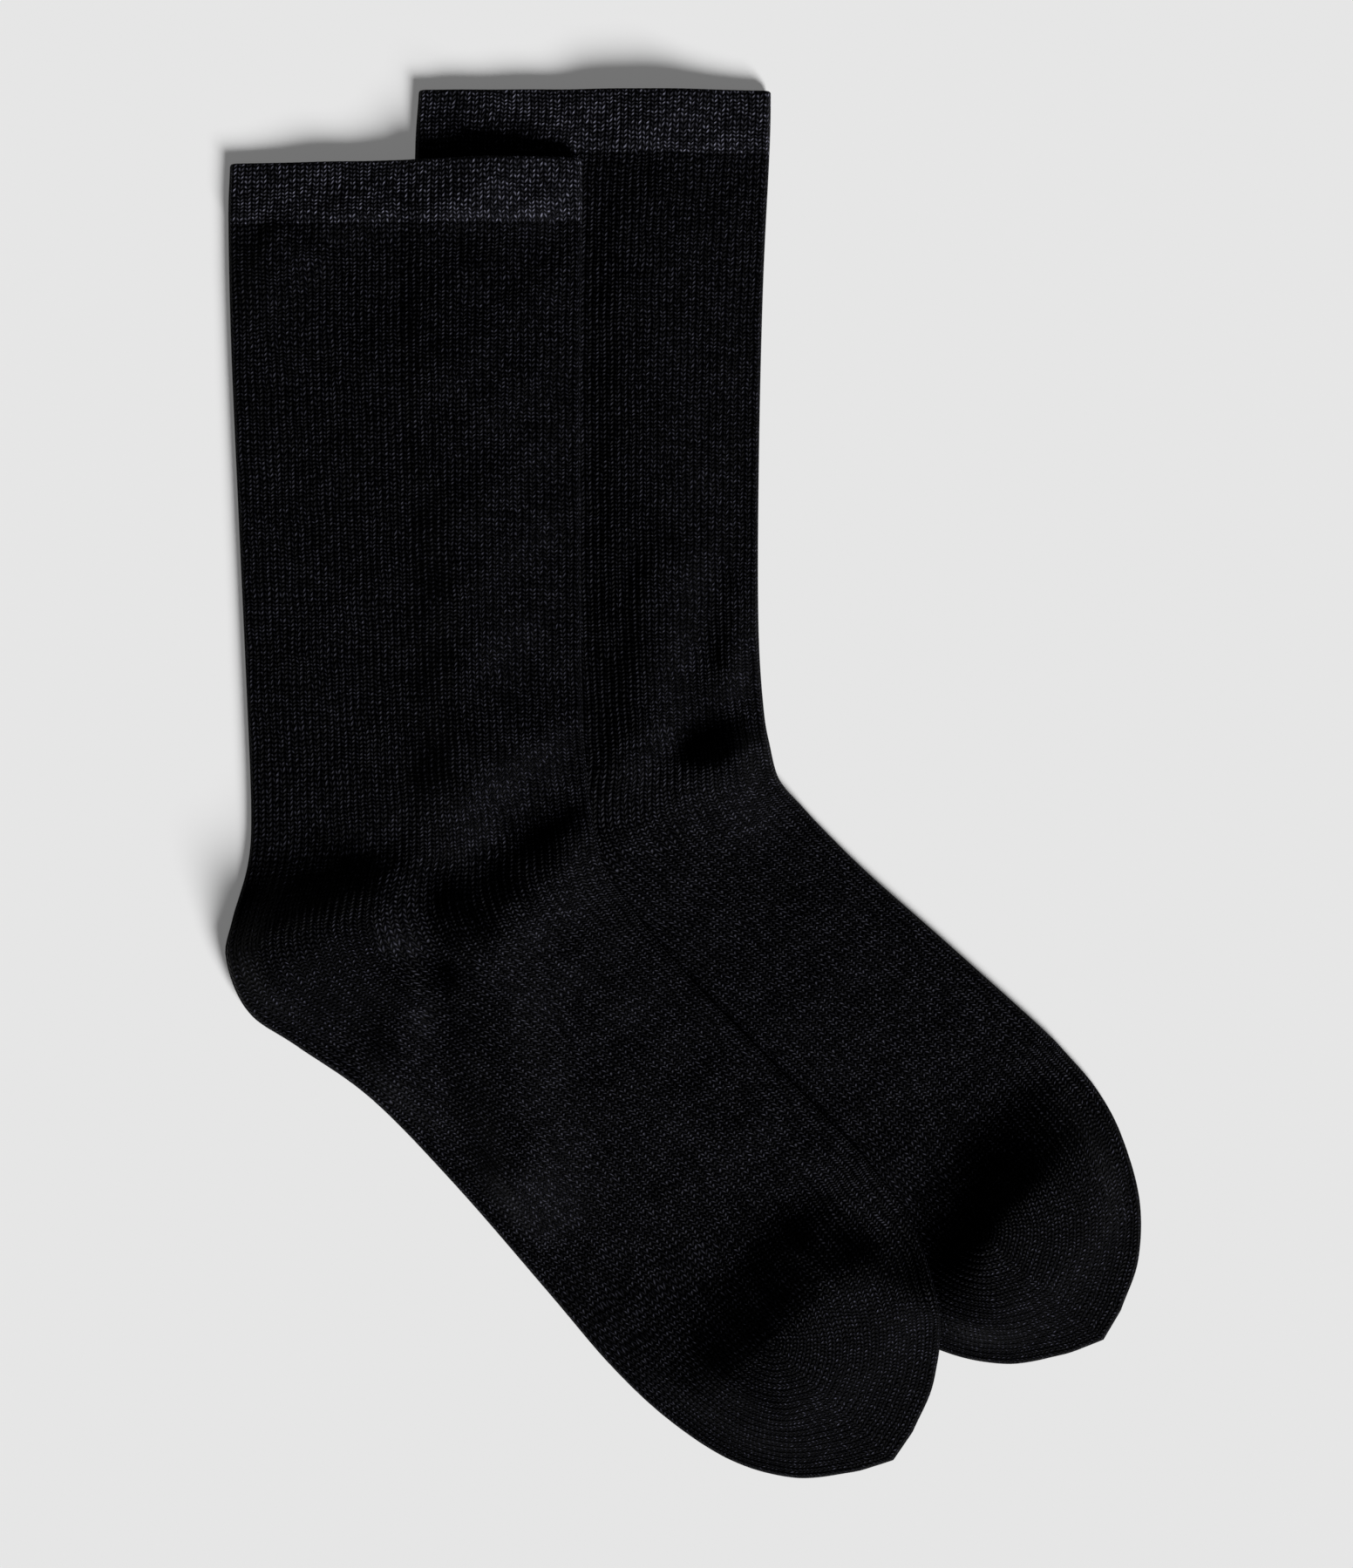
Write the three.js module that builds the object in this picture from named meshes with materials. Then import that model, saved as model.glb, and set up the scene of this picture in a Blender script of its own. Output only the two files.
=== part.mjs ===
// A pair of plain crew socks laid flat in profile, the top one lying half over the under one.
// Millimetres. +X is towards the toes, +Y up the legs, +Z up from the surface they lie on.
// The origin is under the middle of the pair, on that surface.
import * as THREE from "three";

// Cloth of one layer, and the slit left between the two layers of a sock that lies flat
const WALL = 1.3;
const WELT_WALL = 1.6;
const SLIT = 0.6;
const FLAT = 2 * WALL + SLIT;

// Room between two pieces at a seam, and under the top sock where it lies on the other
const SEAM_GAP = 0.3;
const REST_GAP = 0.5;

// The top sock's cloth bridges this far past the under sock's edge, then runs down to the surface
const DRAPE_BRIDGE = 3;
const DRAPE_RUN = 9;

// Sections of one sock, from the rim to the toe, measured from the back of the heel.
// back and front are the folds at the two ends of a section, steps the stations to the next one.
const SECTIONS = [
  { name: "rim", back: [1.0, 227.8], front: [101.8, 229.0], steps: 2 },
  { name: "welt_end", back: [0.5, 210.5], front: [102.0, 210.5], steps: 3 },
  { name: "leg_high", back: [1.3, 175.0], front: [101.5, 175.0], steps: 3 },
  { name: "leg_mid", back: [3.5, 125.0], front: [101.5, 125.0], steps: 3 },
  { name: "leg_low", back: [5.8, 75.0], front: [102.0, 75.0], steps: 4 },
  { name: "above_heel", back: [7.0, 42.5], front: [103.8, 48.8], steps: 2 },
  { name: "heel_top", back: [6.0, 27.0], front: [105.8, 37.0], steps: 3 },
  { name: "heel_upper", back: [1.5, 11.0], front: [107.8, 28.0], steps: 2 },
  { name: "heel_tip", back: [0.0, 0.0], front: [110.5, 22.5], steps: 3 },
  { name: "heel_lower", back: [6.3, -15.0], front: [114.5, 17.0], steps: 2 },
  { name: "heel_end", back: [20.3, -25.0], front: [120.5, 9.0], steps: 3 },
  { name: "arch", back: [41.5, -40.0], front: [133.0, -5.5], steps: 4 },
  { name: "foot_mid", back: [65.8, -65.0], front: [155.0, -28.0], steps: 4 },
  { name: "ball", back: [91.8, -95.0], front: [178.8, -52.5], steps: 3 },
  { name: "toe_neck", back: [110.0, -116.3], front: [186.3, -61.3], steps: 3 },
  { name: "toe_start", back: [126.5, -131.8], front: [194.0, -71.8], steps: 4 },
  { name: "toe_round", back: [144.5, -143.5], front: [200.0, -85.0], steps: 3 },
  { name: "toe_low", back: [162.5, -148.5], front: [204.0, -103.8], steps: 3 },
  { name: "toe_close", back: [178.8, -147.0], front: [202.5, -121.3], steps: 2 },
  { name: "toe_end", back: [187.0, -144.8], front: [196.5, -135.5], steps: 0 },
];
const TOE_CORNER = [191.0, -143.5];

// The inner face of the toe ends this many sections before its outer face, and its tip lies
// this share of the way to the outer one
const TOE_INSET = 0.5;
const INNER_TIP = 0.3;

// Where each sock lies: its heel, and how far its leg and foot are turned about the heel, in degrees.
// The turn grows from the leg's to the foot's between two sections.
const LAYS = {
  top_sock: { heel: [-131.1, -49.8], legTurn: 0, footTurn: 0 },
  under_sock: { heel: [-80.2, -28.6], legTurn: -0.8, footTurn: 3.9 },
};
const TURN_FROM = "rim";
const TURN_TO = "foot_mid";

// Broad swellings of the upper layer: the middle, the half lengths along and across a direction
// in degrees, the rise, and how much of the half length the flank takes.
const SWELLS = {
  top_sock: [
    { name: "mouth", at: [-52, 178], along: 27, across: 22, turn: 0, rise: 2.6, flank: 1 },
    { name: "foot", at: [-16, -92], along: 62, across: 38, turn: -47, rise: 1.6, flank: 1 },
    { name: "toe", at: [44, -156], along: 36, across: 24, turn: 52, rise: 3.2, flank: 0.6 },
  ],
  under_sock: [
    { name: "mouth", at: [-12, 198], along: 34, across: 22, turn: 0, rise: 2.2, flank: 1 },
    { name: "foot", at: [38, -58], along: 50, across: 24, turn: -44, rise: 1.3, flank: 1 },
    { name: "toe", at: [100, -129], along: 36, across: 24, turn: 52, rise: 3.2, flank: 0.6 },
  ],
};

// Creases of the upper layer: a crest between two points, its rise, and the width of its flanks
// on the left and the right of the way from the first point to the second.
const CREASES = {
  top_sock: [
    { name: "heel", from: [-142, -56], to: [-82, -27], rise: 3.2, left: 12, right: 34 },
    { name: "heel_side", from: [-78, -52], to: [-84, -88], rise: 1.6, left: 11, right: 9 },
    { name: "arch", from: [-53, -30], to: [-40, -112], rise: 2.6, left: 26, right: 14 },
    { name: "ankle_upper", from: [-72, -7], to: [-35, 20], rise: 2.2, left: 15, right: 10 },
    { name: "ankle_lower", from: [-52, -26], to: [-18, -7], rise: 2.8, left: 10, right: 26 },
    { name: "leg_hollow", from: [-122, 160], to: [-82, 122], rise: -0.5, left: 14, right: 14 },
  ],
  under_sock: [
    { name: "leg", from: [-8, 190], to: [-10, 5], rise: 1.7, left: 28, right: 15 },
    { name: "shin", from: [2, 66], to: [-11, 10], rise: 1.1, left: 10, right: 9 },
    { name: "shin_edge", from: [20, 56], to: [14, 24], rise: 1.1, left: 8, right: 8 },
    { name: "ankle", from: [-6, 0], to: [30, 12], rise: 2.8, left: 10, right: 24 },
    { name: "instep", from: [20, -18], to: [52, -36], rise: -0.6, left: 9, right: 9 },
  ],
};

// A crease fades out over this share of its length at each end, half of it beyond the end
const CREASE_FADE = 0.3;

// Where swellings and creases meet, the cloth levels off from one rise towards a fullest one
const FULL_FROM = 2.4;
const FULLEST = 3.3;

// Stations across a layer: two on each rounded fold, at these distances from it, and the rest between
const FOLD_STATIONS = [0.7, 2.6];
const LAYER_STATIONS = 11;

// For the slant of a section to its fold: the fold's direction is taken over this much of a row
// to each side, and a slant's sine counts as no less than this
const NEAR_ROW = 0.05;
const LEAST_SLANT = 0.5;

// The heel pocket takes this share of the section, from the back fold
const POCKET_SHARE = 0.42;

const KNIT_COLOUR = 0x131316;
const WELT_COLOUR = 0x222226;

const sectionIndex = (name) => SECTIONS.findIndex((s) => s.name === name);
const smooth = (v) => THREE.MathUtils.smoothstep(v, 0, 1);

function curveThrough(end) {
  const points = SECTIONS.map((s) => new THREE.Vector3(s[end][0], s[end][1], 0));
  return new THREE.CatmullRomCurve3(points, false, "catmullrom", 0.5);
}

const BACK = curveThrough("back");
const FRONT = curveThrough("front");
const LAST = SECTIONS.length - 1;

// A point of the sock's plan, at section row k, laid where this sock lies
function lay(sock, point, k) {
  const { heel, legTurn, footTurn } = LAYS[sock];
  const from = sectionIndex(TURN_FROM);
  const share = smooth((k - from) / (sectionIndex(TURN_TO) - from));
  const turn = THREE.MathUtils.degToRad(THREE.MathUtils.lerp(legTurn, footTurn, share));
  const turned = new THREE.Vector2(point.x, point.y).rotateAround(new THREE.Vector2(), turn);
  return turned.add(new THREE.Vector2(...heel));
}

const backFold = (sock, k) => lay(sock, BACK.getPoint(k / LAST), k);
const frontFold = (sock, k) => lay(sock, FRONT.getPoint(k / LAST), k);
const toeCorner = (sock) => lay(sock, new THREE.Vector2(...TOE_CORNER), LAST);

// Section rows of all stations, whole numbers at the sections themselves
const STATIONS = SECTIONS.flatMap((s, k) =>
  Array.from({ length: Math.max(s.steps, 1) }, (_, n) => k + n / Math.max(s.steps, 1)),
);

// The outline of a sock that lies flat, from the rim down the back, round the toe and up the front
function outlineOf(sock) {
  const back = STATIONS.map((k) => backFold(sock, k));
  const front = STATIONS.map((k) => frontFold(sock, k)).reverse();
  return [...back, toeCorner(sock), ...front];
}

const OUTLINES = { top_sock: outlineOf("top_sock"), under_sock: outlineOf("under_sock") };

function distanceToLine(p, a, b) {
  const along = b.clone().sub(a);
  const share = THREE.MathUtils.clamp(p.clone().sub(a).dot(along) / along.lengthSq(), 0, 1);
  return a.clone().addScaledVector(along, share).distanceTo(p);
}

// Distance to the folded edge, which the open mouth isn't part of
function edgeDistance(sock, p) {
  const line = OUTLINES[sock];
  return Math.min(...line.slice(1).map((b, n) => distanceToLine(p, line[n], b)));
}

function isInside(sock, p) {
  const line = OUTLINES[sock];
  let inside = false;
  line.forEach((b, n) => {
    const a = line[(n + line.length - 1) % line.length];
    const spans = a.y > p.y !== b.y > p.y;
    if (spans && p.x < a.x + ((p.y - a.y) / (b.y - a.y)) * (b.x - a.x)) inside = !inside;
  });
  return inside;
}

function swellAt(swell, p) {
  const local = p.clone().sub(new THREE.Vector2(...swell.at));
  local.rotateAround(new THREE.Vector2(), -THREE.MathUtils.degToRad(swell.turn));
  const reach = Math.hypot(local.x / swell.along, local.y / swell.across);
  return swell.rise * smooth((1 - reach) / swell.flank);
}

function creaseAt(crease, p) {
  const from = new THREE.Vector2(...crease.from);
  const way = new THREE.Vector2(...crease.to).sub(from);
  const offset = p.clone().sub(from);
  const along = offset.dot(way) / way.lengthSq();
  const aside = way.cross(offset) / way.length();
  const width = aside > 0 ? crease.left : crease.right;
  const toEnd = Math.min(along, 1 - along);
  return crease.rise * smooth(toEnd / CREASE_FADE + 0.5) * smooth(1 - Math.abs(aside) / width);
}

// Thickness of the whole sock at a point: both layers, the slit, and what swells it
function thicknessAt(sock, p, flat) {
  const swells = SWELLS[sock].reduce((sum, s) => sum + swellAt(s, p), 0);
  const creases = CREASES[sock].reduce((sum, c) => sum + creaseAt(c, p), 0);
  const rise = Math.max(0, swells + creases);
  const room = FULLEST - FULL_FROM;
  return flat + (rise < FULL_FROM ? rise : FULL_FROM + room * Math.tanh((rise - FULL_FROM) / room));
}

// Height of what a sock lies on: the surface, or the under sock
function groundAt(sock, p) {
  if (sock === "under_sock") return 0;
  const closed = Math.min(
    edgeDistance("under_sock", p),
    distanceToLine(p, OUTLINES.under_sock[0], OUTLINES.under_sock.at(-1)),
  );
  const outside = isInside("under_sock", p) ? 0 : closed;
  const lifted = smooth(1 - (outside - DRAPE_BRIDGE) / DRAPE_RUN);
  return (thicknessAt("under_sock", p, FLAT) + REST_GAP) * lifted;
}

// A point of the cloth: outer or inner face, of the upper or the lower layer, rounded at the folds
function clothPoint(sock, p, layer, wall, isInner) {
  const flat = 2 * wall + SLIT;
  const half = thicknessAt(sock, p, flat) / 2;
  const inset = isInner ? wall : 0;
  const radius = half - inset;
  const depth = THREE.MathUtils.clamp(edgeDistance(sock, p) - inset, 0, radius);
  const rise = Math.sqrt(radius ** 2 - (radius - depth) ** 2);
  return new THREE.Vector3(p.x, p.y, groundAt(sock, p) + half + layer * rise);
}

// Shares of the way across a layer, from the back fold to the front one, without the folds' own
function sharesAcross(width) {
  const ends = FOLD_STATIONS.map((e) => e / width);
  const first = ends.at(-1);
  const step = (1 - 2 * first) / LAYER_STATIONS;
  const middle = Array.from({ length: LAYER_STATIONS - 1 }, (_, n) => first + step * (n + 1));
  return [...ends, ...middle, ...ends.map((e) => 1 - e).reverse()];
}

// One ring of cloth points at section row k: the back fold, the upper layer, the front fold
// and the lower layer back again
function ringAt(sock, k, wall, isInner) {
  const back = backFold(sock, k);
  const front = frontFold(sock, k);
  const width = back.distanceTo(front);
  const inset = isInner ? insetShares(sock, k, wall, width) : [0, 0];
  const at = (share) => back.clone().lerp(front, inset[0] + share * (1 - inset[0] - inset[1]));
  const point = (share, layer) => clothPoint(sock, at(share), layer, wall, isInner);
  return [
    point(0, 1),
    ...sharesAcross(width).map((share) => point(share, 1)),
    point(1, 1),
    ...sharesAcross(width).reverse().map((share) => point(share, -1)),
  ];
}

// How much of the section the wall takes at each fold, more where the section meets it at a slant
function insetShares(sock, k, wall, width) {
  const across = frontFold(sock, k).sub(backFold(sock, k)).normalize();
  const [before, after] = [Math.max(k - NEAR_ROW, 0), Math.min(k + NEAR_ROW, LAST)];
  return [backFold, frontFold].map((fold) => {
    const way = fold(sock, after).sub(fold(sock, before)).normalize();
    return wall / Math.max(Math.abs(across.cross(way)), LEAST_SLANT) / width;
  });
}

const LAYER_CELLS = 2 * FOLD_STATIONS.length + LAYER_STATIONS;
const RING = 2 * LAYER_CELLS;

// Is ring cell j, in either layer, within the heel pocket's share?
const isPocketCell = (j) => (j < LAYER_CELLS ? j + 1 : RING - j) / LAYER_CELLS <= POCKET_SHARE;

// The pieces of a sock: the sections they run between, and the cells of a ring that they take
const isHeelRow = (k) => k >= sectionIndex("heel_top") && k < sectionIndex("heel_end");
const PIECES = [
  { name: "cuff", from: "rim", to: "welt_end", wall: WELT_WALL, takes: () => true },
  { name: "leg", from: "welt_end", to: "heel_top", wall: WALL, takes: () => true },
  { name: "heel", from: "heel_top", to: "heel_end", wall: WALL, takes: (k, j) => isPocketCell(j) },
  {
    name: "foot",
    from: "heel_top",
    to: "toe_start",
    wall: WALL,
    takes: (k, j) => !(isHeelRow(k) && isPocketCell(j)),
  },
  { name: "toe", from: "toe_start", to: "toe_end", wall: WALL, takes: () => true, isClosed: true },
];

// A wall of cloth over the cells that a piece takes, closed along its edges
function wallGeometry(sock, piece) {
  const first = STATIONS.indexOf(sectionIndex(piece.from));
  const last = STATIONS.indexOf(sectionIndex(piece.to));
  const rows = STATIONS.slice(first, last + 1);
  const innerRow = (k) => k - (piece.isClosed ? TOE_INSET * ((k - rows[0]) / (rows.at(-1) - rows[0])) : 0);
  const faces = [
    rows.map((k) => ringAt(sock, k, piece.wall, false)),
    rows.map((k) => ringAt(sock, innerRow(k), piece.wall, true)),
  ];
  const taken = (i, j) => i >= 0 && i < rows.length - 1 && piece.takes(rows[i], (j + RING) % RING);
  const positions = [];

  // A grid point, drawn back from the seam by half the gap
  function corner(side, i, j) {
    const ring = (j + RING) % RING;
    const point = faces[side][i][ring].clone();
    const isOpenEnd = piece.name === "cuff" && i === 0;
    const isToeEnd = piece.isClosed && i === rows.length - 1;
    const cells = [[i - 1, j - 1], [i - 1, j], [i, j - 1], [i, j]].filter(([a, b]) => taken(a, b));
    if (cells.length === 4 || isOpenEnd || isToeEnd) return point;
    const middle = new THREE.Vector3();
    for (const [a, b] of cells) {
      for (const [di, dj] of [[0, 0], [0, 1], [1, 0], [1, 1]]) {
        middle.add(faces[side][a + di][(b + dj + RING) % RING]);
      }
    }
    middle.divideScalar(4 * cells.length).sub(point);
    const draw = cells.length === 2 ? SEAM_GAP / 2 : SEAM_GAP;
    return point.addScaledVector(middle.normalize(), draw);
  }

  function face(...corners) {
    for (let n = 2; n < corners.length; n++) {
      for (const c of [corners[0], corners[n - 1], corners[n]]) positions.push(c.x, c.y, c.z);
    }
  }

  for (let i = 0; i < rows.length - 1; i++) {
    for (let j = 0; j < RING; j++) {
      if (!taken(i, j)) continue;
      const loop = [[i, j], [i + 1, j], [i + 1, j + 1], [i, j + 1]];
      face(...loop.map(([a, b]) => corner(0, a, b)));
      face(...loop.map(([a, b]) => corner(1, a, b)).reverse());
      const beyond = [[i, j - 1], [i + 1, j], [i, j + 1], [i - 1, j]];
      beyond.forEach(([a, b], n) => {
        if (taken(a, b) || (piece.isClosed && a === rows.length - 1)) return;
        const [p, q] = [loop[n], loop[(n + 1) % 4]];
        const side = [corner(0, ...q), corner(0, ...p), corner(1, ...p), corner(1, ...q)];
        // Both pieces at a seam are split along the same diagonal, so that their edges run parallel
        const isForward = p[0] < q[0] || p[1] < q[1];
        face(...(isForward ? side : [...side.slice(1), side[0]]));
      });
    }
  }

  if (piece.isClosed) closeToe(sock, piece, faces, face);
  return new THREE.BufferGeometry().setAttribute(
    "position",
    new THREE.Float32BufferAttribute(positions, 3),
  );
}

// The two faces of the cloth run together in the toe's corner
function closeToe(sock, piece, faces, face) {
  const [outer, inner] = faces.map((rings) => rings.at(-1));
  const middleOf = (ring) =>
    ring.reduce((sum, p) => sum.add(p), new THREE.Vector3()).divideScalar(ring.length);
  const flatTip = toeCorner(sock);
  const outerTip = middleOf(outer).setX(flatTip.x).setY(flatTip.y);
  const innerTip = middleOf(inner).lerp(outerTip, INNER_TIP);
  for (let j = 0; j < RING; j++) {
    const next = (j + 1) % RING;
    face(outer[next], outer[j], outerTip);
    face(inner[j], inner[next], innerTip);
  }
}

function buildSock(sock) {
  const group = new THREE.Group();
  for (const piece of PIECES) {
    const isWelt = piece.name === "cuff";
    const material = new THREE.MeshStandardMaterial({
      color: isWelt ? WELT_COLOUR : KNIT_COLOUR,
      roughness: isWelt ? 0.8 : 0.9,
      metalness: 0,
    });
    const mesh = new THREE.Mesh(wallGeometry(sock, piece), material);
    mesh.name = `${sock}_${piece.name}`;
    group.add(mesh);
  }
  return group;
}

const pair = new THREE.Group();
pair.add(buildSock("top_sock"), buildSock("under_sock"));

// The origin goes under the middle of the pair, on the surface
const box = new THREE.Box3().setFromObject(pair);
const middle = box.getCenter(new THREE.Vector3());
pair.position.set(-middle.x, -middle.y, -box.min.z);

export default pair;
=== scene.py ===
"""The looks of a pair of plain crew socks laid flat in profile, the top one half over the under one.

Sizes in the tables are millimetres on the surface the pair lies on. +X is towards the toes, +Y up
the legs and +Z up. Each piece is one grid of knitted cloth, moved onto the sock and closed.
"""

import math

import bmesh
import bpy
import numpy as np
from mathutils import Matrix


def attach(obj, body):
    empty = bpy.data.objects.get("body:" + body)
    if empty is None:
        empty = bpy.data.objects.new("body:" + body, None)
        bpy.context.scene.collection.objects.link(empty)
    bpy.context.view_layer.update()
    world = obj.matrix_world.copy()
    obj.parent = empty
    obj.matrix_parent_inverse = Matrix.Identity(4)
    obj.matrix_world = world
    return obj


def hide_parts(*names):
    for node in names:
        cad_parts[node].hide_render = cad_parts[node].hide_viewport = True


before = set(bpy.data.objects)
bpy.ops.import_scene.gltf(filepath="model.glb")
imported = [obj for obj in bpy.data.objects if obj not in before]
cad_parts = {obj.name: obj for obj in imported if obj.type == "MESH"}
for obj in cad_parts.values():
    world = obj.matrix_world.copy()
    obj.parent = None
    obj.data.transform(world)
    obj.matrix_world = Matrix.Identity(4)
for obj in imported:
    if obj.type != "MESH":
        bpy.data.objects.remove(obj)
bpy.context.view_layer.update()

bl_info = {
    "name": "Pair of crew socks",
    "version": (1, 0, 0),
    "blender": (4, 5, 0),
    "location": "3D View > Sidebar > Socks",
    "description": "Knits a pair of plain crew socks laid flat, and sets the stage for them",
    "category": "Object",
}

MM = 0.001

# Sections of one sock, from the rim to the toe, measured from the back of the heel:
# the folds at the two ends of each, at the back and at the front
SECTIONS = {
    "rim": ((1.0, 227.8), (101.8, 229.0)),
    "welt_end": ((0.5, 210.5), (102.0, 210.5)),
    "leg_high": ((1.3, 175.0), (101.5, 175.0)),
    "leg_mid": ((3.5, 125.0), (101.5, 125.0)),
    "leg_low": ((5.8, 75.0), (102.0, 75.0)),
    "above_heel": ((7.0, 42.5), (103.8, 48.8)),
    "heel_top": ((6.0, 27.0), (105.8, 37.0)),
    "heel_upper": ((1.5, 11.0), (107.8, 28.0)),
    "heel_tip": ((0.0, 0.0), (110.5, 22.5)),
    "heel_lower": ((6.3, -15.0), (114.5, 17.0)),
    "heel_end": ((20.3, -25.0), (120.5, 9.0)),
    "arch": ((41.5, -40.0), (133.0, -5.5)),
    "foot_mid": ((65.8, -65.0), (155.0, -28.0)),
    "ball": ((91.8, -95.0), (178.8, -52.5)),
    "toe_neck": ((110.0, -116.3), (186.3, -61.3)),
    "toe_start": ((126.5, -131.8), (194.0, -71.8)),
    "toe_round": ((144.5, -143.5), (200.0, -85.0)),
    "toe_low": ((162.5, -148.5), (204.0, -103.8)),
    "toe_close": ((178.8, -147.0), (202.5, -121.3)),
    "toe_end": ((187.0, -144.8), (196.5, -135.5)),
}
SECTION_NAMES = list(SECTIONS)
LAST = len(SECTIONS) - 1
TOE_CORNER = np.array((191.0, -143.5))

# Where each sock lies: its heel, and how far its leg and foot are turned about the heel, in degrees
LAYS = {
    "top_sock": {"heel": (-131.1, -49.8), "leg_turn": 0.0, "foot_turn": 0.0},
    "under_sock": {"heel": (-80.2, -28.6), "leg_turn": -0.8, "foot_turn": 3.9},
}
TURN_FROM = "rim"
TURN_TO = "foot_mid"

# Broad swellings of the upper layer: the middle, the half lengths along and across a direction in
# degrees, the rise, and how much of the half length the flank takes
SWELLS = {
    "top_sock": [
        {"at": (-52, 178), "along": 27, "across": 22, "turn": 0, "rise": 2.6, "flank": 1},
        {"at": (-16, -92), "along": 62, "across": 38, "turn": -47, "rise": 1.6, "flank": 1},
        {"at": (44, -156), "along": 36, "across": 24, "turn": 52, "rise": 3.2, "flank": 0.6},
    ],
    "under_sock": [
        {"at": (-12, 198), "along": 34, "across": 22, "turn": 0, "rise": 2.2, "flank": 1},
        {"at": (38, -58), "along": 50, "across": 24, "turn": -44, "rise": 1.3, "flank": 1},
        {"at": (100, -129), "along": 36, "across": 24, "turn": 52, "rise": 3.2, "flank": 0.6},
    ],
}

# Creases of the upper layer, each a crest between two points, or a trough where its rise is below
# nought, and the width of its flanks on the left and the right of the way to the second point
CREASES = {
    "top_sock": [
        {"from": (-142, -56), "to": (-82, -27), "rise": 3.2, "left": 12, "right": 34},
        {"from": (-78, -52), "to": (-84, -88), "rise": 1.6, "left": 11, "right": 9},
        {"from": (-53, -30), "to": (-40, -112), "rise": 2.6, "left": 26, "right": 14},
        {"from": (-72, -7), "to": (-35, 20), "rise": 2.2, "left": 15, "right": 10},
        {"from": (-52, -26), "to": (-18, -7), "rise": 2.8, "left": 10, "right": 26},
        {"from": (-122, 160), "to": (-82, 122), "rise": -0.5, "left": 14, "right": 14},
    ],
    "under_sock": [
        {"from": (-8, 190), "to": (-10, 5), "rise": 1.7, "left": 28, "right": 15},
        {"from": (2, 66), "to": (-11, 10), "rise": 1.1, "left": 10, "right": 9},
        {"from": (20, 56), "to": (14, 24), "rise": 1.1, "left": 8, "right": 8},
        {"from": (-6, 0), "to": (30, 12), "rise": 2.8, "left": 10, "right": 24},
        {"from": (20, -18), "to": (52, -36), "rise": -0.6, "left": 9, "right": 9},
    ],
}
CREASE_FADE = 0.3

# Swells and creases together level off from the first of these rises, and stay below the second
FULL_FROM = 2.4
FULLEST = 3.3

# Where the visible cloth stands fuller than the plain solids, as crests like those of the creases
PUFFS = {
    "top_sock": [
        {"from": (8, -190), "to": (50, -132), "rise": 3.8, "left": 42, "right": 46},
        {"from": (11, -176), "to": (42, -129), "rise": 6.4, "left": 20, "right": 40},
        {"from": (-134, -51), "to": (-78, -38), "rise": 6.8, "left": 26, "right": 34},
        {"from": (-50, -36), "to": (-16, -8), "rise": 5.2, "left": 13, "right": 56},
        {"from": (-74, -9), "to": (-34, 20), "rise": 1.0, "left": 16, "right": 24},
        {"from": (-64, -34), "to": (-46, -122), "rise": 9.2, "left": 25, "right": 15},
        {"from": (-79, -54), "to": (-83, -98), "rise": 4.6, "left": 28, "right": 18},
        {"from": (-132, 138), "to": (-112, 160), "rise": 2.6, "left": 9, "right": 22},
        {"from": (-104, 162), "to": (-34, 166), "rise": 1.3, "left": 14, "right": 9},
        {"from": (-62, 138), "to": (-58, -8), "rise": 4.8, "left": 30, "right": 58},
        {"from": (-66, 82), "to": (-61, -18), "rise": 2.6, "left": 20, "right": 12},
    ],
    "under_sock": [
        {"from": (72, -157), "to": (114, -98), "rise": 9.0, "left": 26, "right": 40},
        {"from": (6, 0), "to": (38, 23), "rise": 5.8, "left": 15, "right": 28},
        {"from": (20, 60), "to": (12, 28), "rise": 3.2, "left": 11, "right": 10},
        {"from": (-6, 70), "to": (-15, 8), "rise": 2.6, "left": 17, "right": 10},
        {"from": (-18, 172), "to": (-19, -20), "rise": 3.0, "left": 45, "right": 11},
    ],
}

# Over this stretch before the folds those crests fade out, and so do the ripples
PUFF_EDGE = 12.0

# Slight unevenness of cloth that was folded and laid by hand: its waves' lengths and turns
RIPPLES = ((23.0, 20.0), (31.0, 75.0), (17.0, 130.0), (41.0, 160.0), (13.0, 50.0))
RIPPLE_RISE = 0.14

# Room under the top sock where it lies on the other, and how its cloth runs down beside it
REST_GAP = 0.5
DRAPE_START = -3.0
DRAPE_RUN = 9.0

# Its upper layer rises towards that step over a longer way, and takes the rest in a short one
EASE_SHARE = 0.55
EASE_REACH = 40.0
EASE_START = 4.0
EASE_RUN = 7.0

# The heel pocket ends in a groove this many wales from the back fold, on both faces
POCKET_EDGE = 18.5

# The toe's wales turn round a middle point, this share of the way over the section where it starts
TOE_MIDDLE = 0.42
MIDDLE_FROM = "arch"

# For the slant of a section to its fold
NEAR_ROW = 0.05
LEAST_SLANT = 0.5

# The rim's rounded turn, and how much of the welt eases down into the leg
RIM_TURN = (150, 120, 90, 60, 30)
WELT_ROW = 1.0
WELT_EASE = 0.12

# An inner face keeps one row out of so many
INNER_ROW_STEP = 5

# Points closer than this become one. It also keeps lengths that divide above nought.
MERGE = 1e-7
SHARP_FROM = math.radians(42)

# Steps through each section, for the outline and for counting courses, points along a toe's fold,
# and steps inwards from it over a share of the way to the toe's middle
SECTION_STEPS = 8
COURSE_STEPS = 16
TOE_POINTS = 80
INSET_STEPS = 120
INSET_REACH = 0.3

# The toe's grooves fade out over this many wales before its fold
GROOVE_FADE = 1.5

# Where each piece's courses are counted, as a share of the way from the back fold
COUNT_LINES = {"cuff": 0.5, "leg": 0.5, "heel": 0.12, "foot": 0.62}

STITCH_MAP = "Stitches"

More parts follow.
